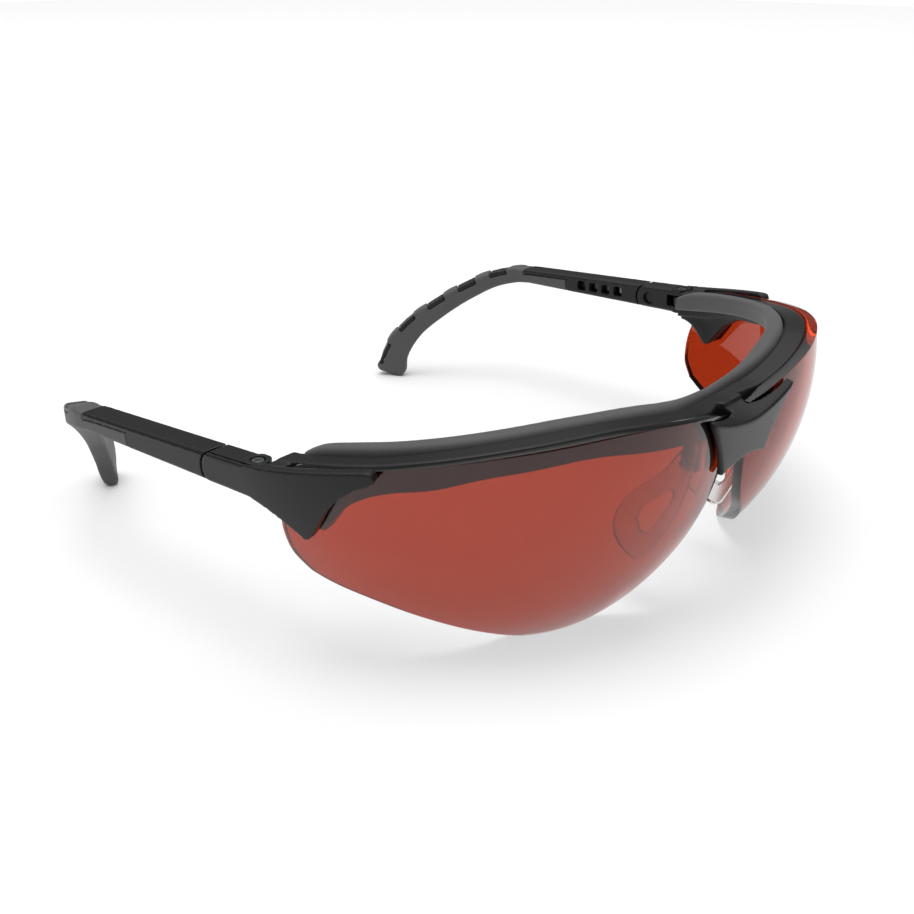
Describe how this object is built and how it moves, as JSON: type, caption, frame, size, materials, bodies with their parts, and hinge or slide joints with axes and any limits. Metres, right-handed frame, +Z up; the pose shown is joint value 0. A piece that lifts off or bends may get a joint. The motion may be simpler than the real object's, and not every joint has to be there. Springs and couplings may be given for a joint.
{
  "type": "safety glasses",
  "caption": "Wrap-round safety glasses: separate tinted lenses hung from a brow bar, soft brow pad and nose pads, and temples that fold, tilt and lengthen.",
  "frame": {"origin": "centre of the bounding box in plan, on the surface the glasses stand on", "axes": "+Z up, the front faces -Y, the wearer's left is +X"},
  "size_m": [0.1452, 0.1427, 0.0443],
  "materials": {
    "black": "satin black moulded plastic",
    "soft_grey": "soft dark grey rubber",
    "filter": "glossy orange-red filter lens",
    "clear_soft": "clear grey soft plastic",
    "steel": "plain steel",
    "brass": "plain brass"
  },
  "bodies": {
    "front": {"front_frame": "black", "brow_pad": "soft_grey", "nose_mount": "black", "lens_left": "filter", "lens_right": "filter", "nose_pad_pin_left": "steel", "nose_pad_pin_right": "steel"},
    "hinge_left": {"hinge_block_left": "black", "hinge_screw_left": "steel", "hinge_nut_left": "brass", "tilt_pin_left": "black"},
    "rail_left": {"tilt_rail_left": "black", "click_spring_left": "steel"},
    "arm_left": {"temple_arm_left": "black", "ear_tip_left": "soft_grey"},
    "nose_leaf_left": {"nose_pad_left": "clear_soft"},
    "hinge_right": {"hinge_block_right": "black", "hinge_screw_right": "steel", "hinge_nut_right": "brass", "tilt_pin_right": "black"},
    "rail_right": {"tilt_rail_right": "black", "click_spring_right": "steel"},
    "arm_right": {"temple_arm_right": "black", "ear_tip_right": "soft_grey"},
    "nose_leaf_right": {"nose_pad_right": "clear_soft"}
  },
  "joints": [
    {"name": "fold_left", "type": "hinge", "parent": "front", "child": "hinge_left", "pos_m": [0.0693, -0.01549, 0.0333], "axis": [0, 0.0419, 0.9991], "range_deg": [0, 88]},
    {"name": "tilt_left", "type": "hinge", "parent": "hinge_left", "child": "rail_left", "pos_m": [0.0698, -0.00731, 0.03271], "axis": [1, 0, 0], "range_deg": [-8, 8]},
    {"name": "length_left", "type": "slide", "parent": "rail_left", "child": "arm_left", "axis": [0, 0.9991, -0.0419], "range_m": [0, 0.0114]},
    {"name": "nose_leaf_swing_left", "type": "hinge", "parent": "front", "child": "nose_leaf_left", "pos_m": [0.011, -0.06369, 0.03], "axis": [0.9781, 0, 0.2079], "range_deg": [-2, 8]},
    {"name": "fold_right", "type": "hinge", "parent": "front", "child": "hinge_right", "pos_m": [-0.0693, -0.01549, 0.0333], "axis": [0, -0.0419, -0.9991], "range_deg": [0, 74]},
    {"name": "tilt_right", "type": "hinge", "parent": "hinge_right", "child": "rail_right", "pos_m": [-0.0698, -0.00731, 0.03271], "axis": [1, 0, 0], "range_deg": [-8, 8]},
    {"name": "length_right", "type": "slide", "parent": "rail_right", "child": "arm_right", "axis": [0, 0.9991, -0.0419], "range_m": [0, 0.0114]},
    {"name": "nose_leaf_swing_right", "type": "hinge", "parent": "front", "child": "nose_leaf_right", "pos_m": [-0.011, -0.06369, 0.03], "axis": [0.9781, 0, -0.2079], "range_deg": [-2, 8]}
  ]
}
